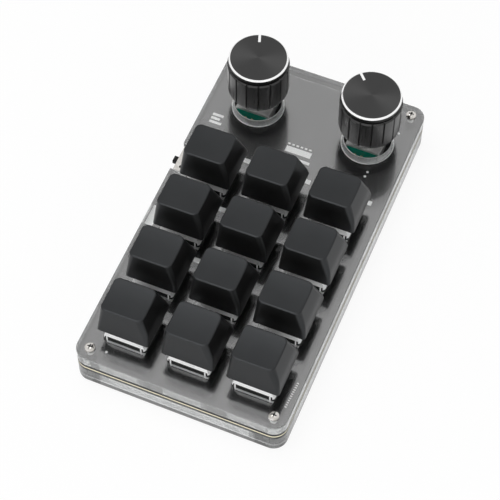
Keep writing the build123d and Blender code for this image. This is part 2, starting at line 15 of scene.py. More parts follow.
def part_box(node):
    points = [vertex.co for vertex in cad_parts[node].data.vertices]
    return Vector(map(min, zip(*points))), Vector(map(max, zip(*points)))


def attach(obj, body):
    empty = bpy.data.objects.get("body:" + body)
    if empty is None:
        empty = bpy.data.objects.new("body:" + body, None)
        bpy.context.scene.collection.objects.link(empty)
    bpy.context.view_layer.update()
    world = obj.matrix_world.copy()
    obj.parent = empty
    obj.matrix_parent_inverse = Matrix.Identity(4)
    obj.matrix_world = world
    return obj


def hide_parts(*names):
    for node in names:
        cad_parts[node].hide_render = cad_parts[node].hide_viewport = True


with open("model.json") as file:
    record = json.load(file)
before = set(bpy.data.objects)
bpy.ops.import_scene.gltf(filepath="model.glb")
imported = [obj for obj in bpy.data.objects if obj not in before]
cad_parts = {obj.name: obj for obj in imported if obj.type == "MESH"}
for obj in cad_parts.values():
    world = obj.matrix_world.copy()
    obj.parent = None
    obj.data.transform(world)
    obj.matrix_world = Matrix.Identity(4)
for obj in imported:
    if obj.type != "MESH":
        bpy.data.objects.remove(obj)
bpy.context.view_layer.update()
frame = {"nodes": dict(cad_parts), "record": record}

MM = 0.001
nodes = frame["nodes"]
bodies = frame["record"]["behaviour"]["bodies"]
plate_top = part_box("top_plate")[1].z
keys = sorted(name.removeprefix("keycap_") for name in nodes if name.startswith("keycap_"))
sides = ["left", "right"]
print("solids:", len(nodes), "bodies:", len(bodies), "keys:", len(keys))

# %% [markdown]
# ## The camera
# A product portrait is taken from far away with a long lens, so that the plates hardly taper. The camera
# stands to the right of the front edge and looks down on the keys. A helper works out its axes from two
# angles: one vector points back from the object to the camera, one to the picture's right, and their
# cross product is the picture's up. The lamps use the same helper later.

# %% Place the camera
AZIMUTH = math.radians(22.64)
ELEVATION = math.radians(58.26)
DISTANCE = 627.9 * MM
AIM = Vector((1.36 * MM, -9.54 * MM, plate_top))
LENS = 131.17
NEAREST = 10 * MM


def seat_facing_object(azimuth, elevation, distance):
    """The seat of a camera or lamp that looks at the object, its azimuth counted from the front."""
    away = Vector((
        math.sin(azimuth) * math.cos(elevation),
        -math.cos(azimuth) * math.cos(elevation),
        math.sin(elevation),
    ))
    across = Vector((math.cos(azimuth), math.sin(azimuth), 0))
    axes = Matrix((across, away.cross(across), away)).transposed().to_4x4()
    return Matrix.Translation(AIM + distance * away) @ axes


camera_data = bpy.data.cameras.new("portrait_camera")
camera_data.lens = LENS
camera_data.clip_start = NEAREST
camera = bpy.data.objects.new("portrait_camera", camera_data)
camera.matrix_world = seat_facing_object(AZIMUTH, ELEVATION, DISTANCE)
bpy.context.scene.collection.objects.link(camera)
bpy.context.scene.camera = camera
bpy.context.scene.view_settings.view_transform = "Standard"
print("camera at", [round(v, 3) for v in camera.location])

# %% [markdown]
# ## The white surround
# The keyboard stands in an even white surround, like a light tent. To the camera, in mirrors and through
# glass it is plain white, and it lights matt surfaces at a lower level, so that colours come out about as
# they are written. A Light Path node tells the two apart. Sums in node trees come up often, so a helper
# makes them from sockets and plain numbers.

# %% Surround the object
SURROUND = 0.5


def calculate(tree, operation, *values):
    """The result of a sum in a node tree, from sockets or plain numbers."""
    step = tree.nodes.new("ShaderNodeMath")
    step.operation = operation
    for socket, value in zip(step.inputs, values):
        if isinstance(value, (int, float)):
            socket.default_value = value
        else:
            tree.links.new(value, socket)
    return step.outputs[0]


def seen_directly(tree):
    """One where a ray comes from the camera, a mirror or glass, and zero for light on matt surfaces."""
    path = tree.nodes.new("ShaderNodeLightPath")
    found = path.outputs["Is Camera Ray"]
    for name in ("Is Glossy Ray", "Is Transmission Ray"):
        found = calculate(tree, "MAXIMUM", found, path.outputs[name])
    return found


world = bpy.data.worlds.new("white_surround")
world.use_nodes = True
bpy.context.scene.world = world
surround = world.node_tree.nodes["Background"]
surround.inputs["Color"].default_value = (1, 1, 1, 1)
level = world.node_tree.nodes.new("ShaderNodeMapRange")
level.inputs["To Min"].default_value = SURROUND
level.inputs["To Max"].default_value = 1.0
world.node_tree.links.new(seen_directly(world.node_tree), level.inputs["Value"])
world.node_tree.links.new(level.outputs["Result"], surround.inputs["Strength"])
print("surround lights at", SURROUND)

# %% [markdown]
# ## Two lamps
# The room is a white tent, which the plate mirrors as its even grey. A square lamp hangs nearly overhead.
# It lights the fronts of the keys as the plate mirrors them from below, and gives the tops their sheen.
# A wide, dim wall of light stands low in front and reaches the pale parts under the keys. Both are area
# lamps, because large lamps give soft shadows, and neither shows to the camera.

# %% Hang the lamps


def hang_lamp(name, azimuth, elevation, distance, width, height, radiance):
    """An even rectangular lamp that faces the object, out of the camera's sight."""
    data = bpy.data.lights.new(name, "AREA")
    data.shape = "RECTANGLE"
    data.size = width
    data.size_y = height
    data.energy = radiance * math.pi * width * height
    lamp = bpy.data.objects.new(name, data)
    lamp.matrix_world = seat_facing_object(azimuth, elevation, distance)
    lamp.visible_camera = False
    bpy.context.scene.collection.objects.link(lamp)
    print("lamp", name, round(data.energy, 2), "W")


hang_lamp(
    "overhead", azimuth=math.radians(-73), elevation=math.radians(78), distance=1.2,
    width=0.8, height=0.8, radiance=3.2,
)
hang_lamp(
    "front_wall", azimuth=math.radians(8), elevation=math.radians(14), distance=1.5,
    width=2.2, height=0.7, radiance=2.8,
)

# %% [markdown]
# ## The floor
# The floor is a plain white sheet. A sheet that is only lit comes out grey, so most of its brightness, as
# the camera sees it, is a glow. The rest is real light, and keeps the object's shadow.

# %% Lay the floor
FLOOR_SIZE = 8.0
FLOOR_GLOW = 0.9
PAPER_WHITE = (0.95, 0.95, 0.95, 1)

floor_mesh = bpy.data.meshes.new("studio_floor")
sheet = bmesh.new()
bmesh.ops.create_grid(sheet, x_segments=1, y_segments=1, size=FLOOR_SIZE / 2)
sheet.to_mesh(floor_mesh)
sheet.free()
studio_floor = bpy.data.objects.new("studio_floor", floor_mesh)
bpy.context.scene.collection.objects.link(studio_floor)
floor_finish = bpy.data.materials.new("white_sweep")
floor_finish.use_nodes = True
tree = floor_finish.node_tree
tree.nodes.clear()
paper = tree.nodes.new("ShaderNodeBsdfDiffuse")
paper.inputs["Color"].default_value = PAPER_WHITE
glow = tree.nodes.new("ShaderNodeEmission")
mix = tree.nodes.new("ShaderNodeMixShader")
output = tree.nodes.new("ShaderNodeOutputMaterial")
tree.links.new(calculate(tree, "MULTIPLY", seen_directly(tree), FLOOR_GLOW), mix.inputs["Fac"])
tree.links.new(paper.outputs[0], mix.inputs[1])
tree.links.new(glow.outputs[0], mix.inputs[2])
tree.links.new(mix.outputs[0], output.inputs["Surface"])
floor_mesh.materials.append(floor_finish)
print("floor", FLOOR_SIZE, "m wide")

# %% [markdown]
# ## Patterns
# Real surfaces are never perfectly even: they are worn, cast or rolled a little differently from place to
# place. A noise texture gives such a pattern without any picture. It is laid out in the object's own
# coordinates, so it stays put in every view and pose. Most of its values lie between 0.3 and 0.7, and that
# middle part is stretched over a range of roughness or over two colours.

# %% Pattern helpers
NOISE_LOW, NOISE_HIGH = 0.3, 0.7


def object_place(tree):
    """The place on the object, in its own coordinates."""
    return tree.nodes.new("ShaderNodeTexCoord").outputs["Object"]


def object_axes(tree):
    """The place on the object, as three sockets for x, y and z."""
    split = tree.nodes.new("ShaderNodeSeparateXYZ")
    tree.links.new(object_place(tree), split.inputs["Vector"])
    return split.outputs


def object_noise(tree, scale, stretch=(1, 1, 1), detail=3.0):
    """A noise pattern in object coordinates, scale in cells per metre along each axis."""
    mapping = tree.nodes.new("ShaderNodeMapping")
    mapping.inputs["Scale"].default_value = stretch
    noise = tree.nodes.new("ShaderNodeTexNoise")
    noise.inputs["Scale"].default_value = scale
    noise.inputs["Detail"].default_value = detail
    tree.links.new(object_place(tree), mapping.inputs["Vector"])
    tree.links.new(mapping.outputs["Vector"], noise.inputs["Vector"])
    return noise.outputs["Fac"]


def spread(tree, value, low, high, start=NOISE_LOW, end=NOISE_HIGH):
    """The pattern's values from start to end stretched to run from low to high."""
    ranged = tree.nodes.new("ShaderNodeMapRange")
    ranged.inputs["From Min"].default_value = start
    ranged.inputs["From Max"].default_value = end
    ranged.inputs["To Min"].default_value = low
    ranged.inputs["To Max"].default_value = high
    tree.links.new(value, ranged.inputs["Value"])
    return ranged.outputs["Result"]


def two_colours(tree, value, first, second, start=NOISE_LOW, end=NOISE_HIGH):
    """The pattern as a blend of two colours."""
    ramp = tree.nodes.new("ShaderNodeValToRGB")
    ramp.color_ramp.elements[0].position = start
    ramp.color_ramp.elements[0].color = (*first, 1)
    ramp.color_ramp.elements[1].position = end
    ramp.color_ramp.elements[1].color = (*second, 1)
    tree.links.new(value, ramp.inputs["Fac"])
    return ramp.outputs["Color"]


print("pattern helpers ready, for noise from", NOISE_LOW, "to", NOISE_HIGH)

# %% [markdown]
# ## Finishes
# Every finish starts from one Principled shader, which holds plastic, metal and glass in one node. Most
# finishes let one pattern vary colour and gloss together, because a worn spot is both paler and duller. A
# second pattern can raise fine bumps. A solid from the frame keeps its mesh, and only its slot changes.

# %% Finish helpers


def start_finish(name, **sockets):
    """A material with one Principled shader, its constant sockets set by name."""
    finish = bpy.data.materials.new(name)
    finish.use_nodes = True
    shader = finish.node_tree.nodes["Principled BSDF"]
    for label, value in sockets.items():
        shader.inputs[label.replace("_", " ")].default_value = value
    return finish, finish.node_tree, shader


def vary(tree, shader, pattern, colours, rough, start=NOISE_LOW, end=NOISE_HIGH):
    """Let one pattern run a finish between two colours and two roughnesses."""
    tree.links.new(two_colours(tree, pattern, *colours, start, end), shader.inputs["Base Color"])
    tree.links.new(spread(tree, pattern, *rough, start, end), shader.inputs["Roughness"])


def raise_bumps(tree, shader, height, strength, depth):
    """Tilt the surface by a height pattern of the given depth in metres."""
    bump = tree.nodes.new("ShaderNodeBump")
    bump.inputs["Strength"].default_value = strength
    bump.inputs["Distance"].default_value = depth
    tree.links.new(height, bump.inputs["Height"])
    tree.links.new(bump.outputs["Normal"], shader.inputs["Normal"])


def greys(dark, light):
    """Two neutral colours of the given levels."""
    return (dark, dark, dark), (light, light, light)


def wear(finish, *names):
    """Give solids from the frame their finish."""
    for name in names:
        slots = nodes[name].data.materials
        slots.clear()
        slots.append(finish)
    print(finish.name, "on", len(names), "solids")


print("finish helpers ready")

# %% [markdown]
# ## New pieces
# A new piece is shaped in a bmesh, in the frame's own coordinates, and then becomes an object that sits
# at the origin. The helper shades smooth faces smooth, keeps creases sharp, gives the piece its finishes
# and lets it ride on a body of the frame. A copy of a solid starts with its points merged, so that its
# faces hang together. It brings corner normals along that then no longer fit, so these are taken off.

# %% Piece helpers
CREASE = math.radians(32)
MERGE_DISTANCE = 0.001 * MM


def merged_copy(node):
    """A bmesh of a solid from the frame, with its double points merged."""
    shape = bmesh.new()
    shape.from_mesh(nodes[node].data)
    bmesh.ops.remove_doubles(shape, verts=shape.verts, dist=MERGE_DISTANCE)
    return shape


def finish_piece(shape, name, finishes, body):
    """Turn a bmesh into a piece that rides on a body."""
    mesh = bpy.data.meshes.new(name)
    shape.to_mesh(mesh)
    shape.free()
    if "custom_normal" in mesh.attributes:
        mesh.attributes.remove(mesh.attributes["custom_normal"])
    mesh.shade_smooth()
    mesh.set_sharp_from_angle(angle=CREASE)
    for finish in finishes:
        mesh.materials.append(finish)
    piece = bpy.data.objects.new(name, mesh)
    bpy.context.scene.collection.objects.link(piece)
    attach(piece, body)
    return piece


print("piece helpers ready, creases from", round(math.degrees(CREASE)), "degrees")

# %% [markdown]
# ## Blocks and turned parts
# Most small parts are blocks with broken edges or parts turned on a lathe. A block is a cube stretched
# between two corners, and a bevel breaks its edges. A turned part is a closed outline that is spun once
# round an upright axis, as it would be cut on a real lathe.

# %% Block and lathe helpers
EDGE_STEPS = 2


def add_block(shape, low, high, edge=0.0):
    """Add a box between two corners, with its edges rounded."""
    size = Vector(high) - Vector(low)
    middle = (Vector(high) + Vector(low)) / 2
    place = Matrix.Translation(middle) @ Matrix.Diagonal((*size, 1))
    made = bmesh.ops.create_cube(shape, size=1, matrix=place)
    if edge:
        edges = {e for v in made["verts"] for e in v.link_edges}
        bmesh.ops.bevel(
            shape, geom=list(edges), offset=edge, segments=EDGE_STEPS,
            affect="EDGES", profile=0.5, material=-1,
        )


def add_lathe(shape, outline, centre, steps):
    """Turn a closed outline of (radius, height) points about an upright axis."""
    points = [shape.verts.new((centre[0] + radius, centre[1], height)) for radius, height in outline]
    edges = [shape.edges.new((points[i - 1], points[i])) for i in range(len(points))]
    bmesh.ops.spin(
        shape, geom=points + edges, cent=(centre[0], centre[1], 0), axis=(0, 0, 1),
        angle=2 * math.pi, steps=steps, use_merge=True,
    )
    bmesh.ops.recalc_face_normals(shape, faces=shape.faces)


print("block and lathe helpers ready")

# %% [markdown]
# ## The board seen in the edges
# The black board shows in the clear edges all round it: as a dark line along the joint and as dark corners
# below it, and the bottom plate is darker too. On the real object these are reflections inside the acrylic,
# which a short render finds only now and then. So the reflections are painted: the share of black is worked
# out from the place on the object, and the cut edge is coloured with it.

# %% Where the board's reflection is painted into the edges
# The strengths of the board's reflection, painted into the cut edges.
AIR_FILM = 0.02 * MM
JOINT_LINE = (0.65 * MM, 0.845 * MM)
CORNER_ACROSS = (27.0 * MM, 28.5 * MM)
CORNER_ALONG = (56.0 * MM, 62.0 * MM)
CORNER_DARK = 0.8
BOTTOM_DARK = 0.45

board_low, board_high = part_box("circuit_board")
board_middle = (board_low.z + board_high.z) / 2
board_half = (board_high.z - board_low.z) / 2
bottom_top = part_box("bottom_plate")[1].z


def off_board_middle(tree, height):
    """How far a height lies above or below the middle of the board."""
    return calculate(tree, "ABSOLUTE", calculate(tree, "SUBTRACT", height, board_middle))


def painted_board_reflection(tree):
    """Share of painted board reflection in an edge: all at the board, most in the lower corners, some at
    the bottom.
    """
    x, y, z = object_axes(tree)
    fade = [board_half + room for room in JOINT_LINE]
    joint = spread(tree, off_board_middle(tree, z), 1.0, 0.0, *fade)
    across = spread(tree, calculate(tree, "ABSOLUTE", x), 0.0, 1.0, *CORNER_ACROSS)
    along = spread(tree, calculate(tree, "ABSOLUTE", y), 0.0, 1.0, *CORNER_ALONG)
    below = spread(tree, z, CORNER_DARK, 0.0, board_middle, board_middle + board_half)
    corner = calculate(tree, "MULTIPLY", calculate(tree, "MULTIPLY", across, along), below)
    bottom = spread(tree, z, BOTTOM_DARK, 0.0, bottom_top, bottom_top + AIR_FILM)
    return calculate(tree, "MAXIMUM", joint, calculate(tree, "MAXIMUM", corner, bottom))


print("board from", round(board_low.z / MM, 2), "to", round(board_high.z / MM, 2), "mm")

# %% [markdown]
# ## Clear acrylic
# The three clear layers are cast acrylic: it bends light like glass and is almost without colour. Its
# faces are polished, and the upper one still has its satin film, which mirrors the keys a little blurred.
# Its edges were cut by a laser, which leaves them milky, with fine upright lines and a few clear glints.
# The walls of the holes are frosted nearly white. Each look has its own finish, because one shader with
# masks for all four would be hard to read.

# %% The finishes of the acrylic
ACRYLIC_IOR = 1.49
FILM = {"Coat_Weight": 1.0, "Coat_IOR": 2.4, "Coat_Roughness": 0.16}
BOARD_REFLECTION_BLACK = (0.012, 0.012, 0.013, 1.0)


def make_polished_acrylic(name, **sockets):
    """Clear acrylic with a mirror finish, hardly dulled by handling."""
    finish, tree, shader = start_finish(name, Transmission_Weight=1.0, IOR=ACRYLIC_IOR, **sockets)
    haze = object_noise(tree, scale=150.0)
    vary(tree, shader, haze, colours=((0.97, 0.98, 0.975), (0.985, 0.99, 0.988)), rough=(0.0, 0.012))
    return finish


def make_cut_acrylic():
    """The laser-cut edge of the acrylic: milky, finely lined, with clear glints, and the board's reflection
    painted in.
    """
    finish, tree, shader = start_finish("cut_acrylic", Transmission_Weight=0.8, IOR=ACRYLIC_IOR)
    lines = object_noise(tree, scale=70.0, stretch=(6, 6, 1), detail=2.0)
    milk = two_colours(tree, lines, first=(0.72, 0.74, 0.735), second=(0.98, 0.99, 0.985))
    # The board's reflection is painted: the edge's colour runs to black where the board would show in it.
    shade = tree.nodes.new("ShaderNodeMix")
    shade.data_type = "RGBA"
    tree.links.new(painted_board_reflection(tree), shade.inputs["Factor"])
    tree.links.new(milk, shade.inputs["A"])
    shade.inputs["B"].default_value = BOARD_REFLECTION_BLACK
    tree.links.new(shade.outputs["Result"], shader.inputs["Base Color"])
    tree.links.new(spread(tree, lines, low=0.08, high=0.25), shader.inputs["Roughness"])
    raise_bumps(tree, shader, lines, strength=0.12, depth=0.05 * MM)
    return finish


def make_frosted_acrylic():
    """The wall of a hole cut in the acrylic: frosted nearly white by the laser's heat."""
    finish, tree, shader = start_finish("frosted_acrylic", Transmission_Weight=0.25, IOR=ACRYLIC_IOR)
    grain = object_noise(tree, scale=600.0, stretch=(2, 2, 0.5))
    vary(tree, shader, grain, colours=((0.84, 0.85, 0.85), (0.97, 0.98, 0.98)), rough=(0.25, 0.45))
    raise_bumps(tree, shader, grain, strength=0.12, depth=0.03 * MM)
    return finish


polished_acrylic = make_polished_acrylic("polished_acrylic")
filmed_acrylic = make_polished_acrylic("filmed_acrylic", **FILM)
cut_acrylic = make_cut_acrylic()
frosted_acrylic = make_frosted_acrylic()
print("acrylic finishes: polished, filmed, cut and frosted")

# %% [markdown]
# ## The clear layers
# Two sheets laid on each other never touch all over, and the thin film of air between them is what makes
# each face shine. So each layer is copied from its solid and thinned by a hair top and bottom. Each face
# then gets its finish by the way it looks: up is filmed on the top plate and polished on the others, down
# is polished, the outer sides with their chamfers are cut, and the walls of the holes are frosted.

# %% Thin the clear layers
POLISHED_SLOPE = 0.8
OUTER_MARGIN = 2.0 * MM


def is_outer(face, low, high):
    """Whether a face lies on the outer edge of a layer and not on the wall of a hole."""
    spot = face.calc_center_median()
    room = min(spot.x - low.x, high.x - spot.x, spot.y - low.y, high.y - spot.y)
    return room < OUTER_MARGIN


def thin_copy(node, upper_finish):
    """A copy of a flat layer, thinned by the film of air above and below it."""
    low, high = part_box(node)
    shape = merged_copy(node)
    share = 1 - 2 * AIR_FILM / (high.z - low.z)
    middle = Matrix.Translation((0, 0, -(low.z + high.z) / 2))
    bmesh.ops.scale(shape, vec=(1, 1, share), space=middle, verts=shape.verts)
    shape.normal_update()
    for face in shape.faces:
        if face.normal.z > POLISHED_SLOPE:
            face.material_index = 0
        elif face.normal.z < -POLISHED_SLOPE:
            face.material_index = 1
        else:
            face.material_index = 2 if is_outer(face, low, high) else 3
    finishes = [upper_finish, polished_acrylic, cut_acrylic, frosted_acrylic]
    piece = finish_piece(shape, f"clear_{node}", finishes, "base")
    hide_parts(node)
    return piece


clear_layers = [
    thin_copy("top_plate", filmed_acrylic),
    thin_copy("middle_frame", polished_acrylic),
    thin_copy("bottom_plate", polished_acrylic),
]
print("clear layers:", [piece.name for piece in clear_layers])

# %% [markdown]
# ## Frosted rims of the encoder holes
# A pale line runs round the upper edge of each round hole, a painted highlight for the bright line of light
# along it: a thin frosted ring, turned on a lathe, that lines the upper edge of the hole and stands no
# higher than the plate.

# %% Line the encoder holes
HOLE_RADIUS = 9.1 * MM
RIM_WIDTH = 0.45 * MM
RIM_DEPTH = 0.5 * MM
ROUND_STEPS = 96

shape = bmesh.new()
for side in sides:
    low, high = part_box(f"shaft_{side}")
    outline = [
        (HOLE_RADIUS - AIR_FILM, plate_top - AIR_FILM),
        (HOLE_RADIUS - RIM_WIDTH, plate_top - RIM_WIDTH / 2),
        (HOLE_RADIUS - RIM_WIDTH, plate_top - RIM_DEPTH),
        (HOLE_RADIUS - AIR_FILM, plate_top - RIM_DEPTH),
    ]
    add_lathe(shape, outline, ((low + high) / 2).xy, ROUND_STEPS)
# The frosted ring is a painted highlight along the hole's edge.
hole_rim_highlights = finish_piece(shape, "hole_rim_highlights", [frosted_acrylic], "base")
print("rims of", len(sides), "holes,", len(hole_rim_highlights.data.polygons), "faces")

# %% [markdown]
# ## The circuit board
# The board is black lacquer over glass fibre. From above only the lacquer shows, smooth and slightly
# rippled over the copper tracks. On its edge the pale fibre core shows between two black skins. Colour by
# height does this on one material, because the core is a level band all round the edge.

# %% The board's finish
BOARD_SKIN = 0.7 * MM
SKIN_FADE = 0.05 * MM
FIBRE_COLOUR = (0.9, 0.84, 0.6)
LACQUER_COLOUR = (0.013, 0.013, 0.014)


def make_black_board():
    """Black board lacquer over tracks, with a pale core on the cut edge."""
    finish, tree, shader = start_finish("black_board", IOR=1.3)
    depth = off_board_middle(tree, object_axes(tree)["Z"])
    skin = board_half - BOARD_SKIN
    core = spread(tree, depth, 0.0, 1.0, skin - SKIN_FADE, skin)
    colour = two_colours(tree, core, FIBRE_COLOUR, LACQUER_COLOUR, start=0.4, end=0.6)
    tree.links.new(colour, shader.inputs["Base Color"])
    lacquer = object_noise(tree, scale=900.0)
    tree.links.new(spread(tree, lacquer, low=0.28, high=0.4), shader.inputs["Roughness"])
    tracks = tree.nodes.new("ShaderNodeTexBrick")
    tracks.inputs["Scale"].default_value = 180.0
    tracks.inputs["Mortar Size"].default_value = 0.03
    tree.links.new(object_place(tree), tracks.inputs["Vector"])
    raise_bumps(tree, shader, tracks.outputs["Fac"], strength=0.1, depth=0.03 * MM)
    return finish


wear(make_black_board(), "circuit_board")

# %% [markdown]
# ## Moulded plastic
# Keycaps are moulded in black plastic with a fine satin grain: rough enough to blur reflections, smooth
# enough to shine at a low angle. The switch housings are a plainer nylon, with a milky upper cover that
# glows in the light between the keys. One function makes them all, because only the colours, the gloss
# and the grain differ.

# %% Moulded finishes


def make_moulded(name, colours, rough, grain, depth, **sockets):
    """Moulded plastic: two close colours, uneven gloss and a fine grain of a depth in metres."""
    finish, tree, shader = start_finish(name, **sockets)
    vary(tree, shader, object_noise(tree, scale=120.0), colours, rough)
    raise_bumps(tree, shader, object_noise(tree, scale=grain), strength=0.25, depth=depth)
    return finish


keycap_black = make_moulded(
    "keycap_black", greys(0.006, 0.008), rough=(0.31, 0.36), grain=5000.0, depth=0.006 * MM,
    IOR=1.41, Specular_Tint=(0.9, 0.95, 1.0, 1),
)
switch_black = make_moulded(
    "switch_black", greys(0.005, 0.008), rough=(0.5, 0.6), grain=2500.0, depth=0.02 * MM, IOR=1.25
)
chip_plastic = make_moulded(
    "chip_plastic", greys(0.012, 0.02), rough=(0.45, 0.6), grain=3000.0, depth=0.02 * MM, IOR=1.5
)
foot_rubber = make_moulded(
    "foot_rubber", greys(0.012, 0.022), rough=(0.7, 0.85), grain=1800.0, depth=0.05 * MM, IOR=1.5
)
stem_plastic = make_moulded(
    "stem_plastic", ((0.32, 0.02, 0.02), (0.38, 0.03, 0.03)),
    rough=(0.3, 0.4), grain=2500.0, depth=0.02 * MM, IOR=1.5,
)
encoder_green = make_moulded(
    "encoder_green", ((0.0, 0.25, 0.175), (0.0, 0.32, 0.225)),
    rough=(0.35, 0.45), grain=2500.0, depth=0.02 * MM, IOR=1.5,
)
switch_milky = make_moulded(
    "switch_milky", greys(0.9, 0.95), rough=(0.25, 0.35), grain=1500.0, depth=0.02 * MM,
    Transmission_Weight=0.15, IOR=1.58,
)
print("moulded finishes ready")

# %% [markdown]
# ## Moulded solids
# The stems, switch housings, encoder bases, feet and chips keep the shape of their solids, so they only
# need their finish. The keycaps get theirs in the next step, with a shape of their own.

# %% Dress the moulded solids
wear(stem_plastic, *(f"stem_{key}" for key in keys))
wear(switch_black, "switch_bases", "layer_switch_lever", "plunger_left", "plunger_right")
wear(chip_plastic, "board_chips", "hot_swap_sockets")
wear(switch_milky, "switch_covers")
wear(foot_rubber, "rubber_feet")
wear(encoder_green, "encoder_bases")

# %% [markdown]
# ## Keycaps
# The keycaps are satin black and blank. The side that leans the most, here the right one, is a little
# full: it stands out between the skirt and the top instead of running straight. So each keycap is copied
# from its solid, cut at a few heights, and its right wall is pushed out there, inside and outside alike.
# Weighted normals then keep the large sides flat, so that the light turns only at the narrow edges.

# %% Fill out the keycaps
CAP_CUTS = 8
CAP_SPREAD = 0.75 * MM
CAP_BULGE = 0.65 * MM
CAP_CORE = 5.0 * MM
CAP_SIDE = 8.0 * MM
CAP_FLATNESS = 90


def make_keycap(key):
    """A copy of a keycap, its right side spread at the foot and bulging most half-way up."""
    node = f"keycap_{key}"
    low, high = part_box(node)
    shape = merged_copy(node)
    for step in range(1, CAP_CUTS):
        cut = low.lerp(high, step / CAP_CUTS)
        parts = [*shape.verts, *shape.edges, *shape.faces]
        bmesh.ops.bisect_plane(shape, geom=parts, plane_co=cut, plane_no=(0, 0, 1))
    for vert in shape.verts:
        rise = (vert.co.z - low.z) / (high.z - low.z)
        aside = vert.co.x - (low.x + high.x) / 2
        reach = min(max((aside - CAP_CORE) / (CAP_SIDE - CAP_CORE), 0.0), 1.0)
        vert.co.x += reach * (1 - rise) * (CAP_SPREAD + 4 * CAP_BULGE * rise)
    piece = finish_piece(shape, f"full_{node}", [keycap_black], f"key_{key}")
    shading = piece.modifiers.new("flat sides", "WEIGHTED_NORMAL")
    shading.weight = CAP_FLATNESS
    shading.keep_sharp = True
    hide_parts(node)
    return piece


full_keycaps = [make_keycap(key) for key in keys]
print("keycaps", len(full_keycaps), "of", len(full_keycaps[0].data.polygons), "faces")

# %% [markdown]
# ## Metal
# The screws, standoffs, springs, data socket and the layer switch's case are nickel-plated steel, bright
# with faint handling marks. The encoders' brackets and shafts are paler, a little duller and lined from
# rolling. The same noise makes both, stretched into lines for the rolled parts.

# %% Metal parts


def make_metal(name, colours, rough, stretch=(1, 1, 1)):
    """Metal with brightness and gloss that vary along fine lines."""
    finish, tree, shader = start_finish(name, Metallic=1.0)
    lines = object_noise(tree, scale=400.0, stretch=stretch)
    vary(tree, shader, lines, colours, rough)
    raise_bumps(tree, shader, lines, strength=0.1, depth=0.02 * MM)
    return finish


bright_steel = make_metal("bright_steel", ((0.5, 0.48, 0.45), (0.7, 0.68, 0.65)), rough=(0.1, 0.2))
stamped_steel = make_metal(
    "stamped_steel", ((0.74, 0.74, 0.73), (0.88, 0.88, 0.87)), rough=(0.34, 0.5), stretch=(1, 12, 1)
)
contact_brass = make_metal(
    "contact_brass", ((0.6, 0.47, 0.25), (0.78, 0.66, 0.42)), rough=(0.25, 0.4), stretch=(1, 1, 6)
)
wear(bright_steel, "plate_screws", "base_screws", "standoffs", "usb_socket", "layer_switch_case")
wear(bright_steel, *(f"spring_{key}" for key in keys))
wear(stamped_steel, "encoder_brackets", "shaft_left", "shaft_right")
wear(contact_brass, "contact_pins")

# %% [markdown]
# ## Painted shade in the screws' recesses
# Little light reaches the floor of a screw's cross recess, so it lies in shade. That shade is painted: a
# thin dark cross lies in each recess, because the plating alone would mirror the bright room there too.

# %% Paint shade into the screws' recesses
SCREW_RADIUS = 1.8 * MM
CROSS_HALF = Vector((0.94 * MM, 0.24 * MM))
CROSS_LEVELS = (0.68 * MM, 0.25 * MM)

# A dark metal that paints the shade in the recesses.
painted_recess_shade = make_metal("painted_recess_shade", greys(0.02, 0.05), rough=(0.4, 0.55))
low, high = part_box("plate_screws")
shape = bmesh.new()
for x in (low.x + SCREW_RADIUS, high.x - SCREW_RADIUS):
    for y in (low.y + SCREW_RADIUS, high.y - SCREW_RADIUS):
        for half in (CROSS_HALF, CROSS_HALF.yx):
            first = (x - half.x, y - half.y, high.z - CROSS_LEVELS[0])
            add_block(shape, first, (x + half.x, y + half.y, high.z - CROSS_LEVELS[1]))
screw_recess_shade = finish_piece(shape, "screw_recess_shade", [painted_recess_shade], "base")
print("crosses", len(screw_recess_shade.data.polygons), "faces")

# %% [markdown]
# ## Rims and fronts of the switches
# A switch's black base rises a little round the foot of its milky cover, so a dark line runs under the
# pale one. Over that line the cover snaps on with short clips, and its front and back are steeper than
# its sides. Dark rims, clips and steep fronts are each one piece for all the keys, because they stay
# together on the base. The fronts are wedges of eight corners, laid on the slope of the cover.

# %% Shape the switches' rims
RIM_TOP = 2.1 * MM
RIM_HALF = Vector((7.0 * MM, 7.8 * MM))
CLIP_WIDTH = 0.5 * MM
CLIP_OFFSET = 6.2 * MM
CLIP_DEPTH = 0.12 * MM
FRONT_FOOT = (7.4 * MM, 7.72 * MM, 1.6 * MM)
FRONT_HEAD = (5.6 * MM, 6.35 * MM, 7.35 * MM)
FRONT_DEPTH = 1.2 * MM
WEDGE_FACES = ((0, 1, 5, 4), (2, 3, 7, 6), (0, 2, 6, 4), (1, 3, 7, 5), (0, 1, 3, 2), (4, 5, 7, 6))
SMALL_EDGE = 0.05 * MM

switch_centres = {}
for key in keys:
    low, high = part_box(f"stem_{key}")
    switch_centres[key] = ((low + high) / 2).xy


def add_rim(shape, centre):
    """The raised rim of a switch's base."""
    low, high = centre - RIM_HALF, centre + RIM_HALF
    add_block(shape, (*low, plate_top + AIR_FILM), (*high, plate_top + RIM_TOP), SMALL_EDGE)


def add_clips(shape, centre):
    """Four clips over the front and the back of a rim."""
    for x in (centre.x - CLIP_OFFSET, centre.x + CLIP_OFFSET):
        for face in (-1, 1):
            ends = sorted(centre.y + face * (RIM_HALF.y + depth) for depth in (-CLIP_DEPTH, CLIP_DEPTH))
            low = (x - CLIP_WIDTH / 2, ends[0], plate_top + 2 * AIR_FILM)
            high = (x + CLIP_WIDTH / 2, ends[1], plate_top + RIM_TOP + CLIP_DEPTH)
            add_block(shape, low, high, SMALL_EDGE)


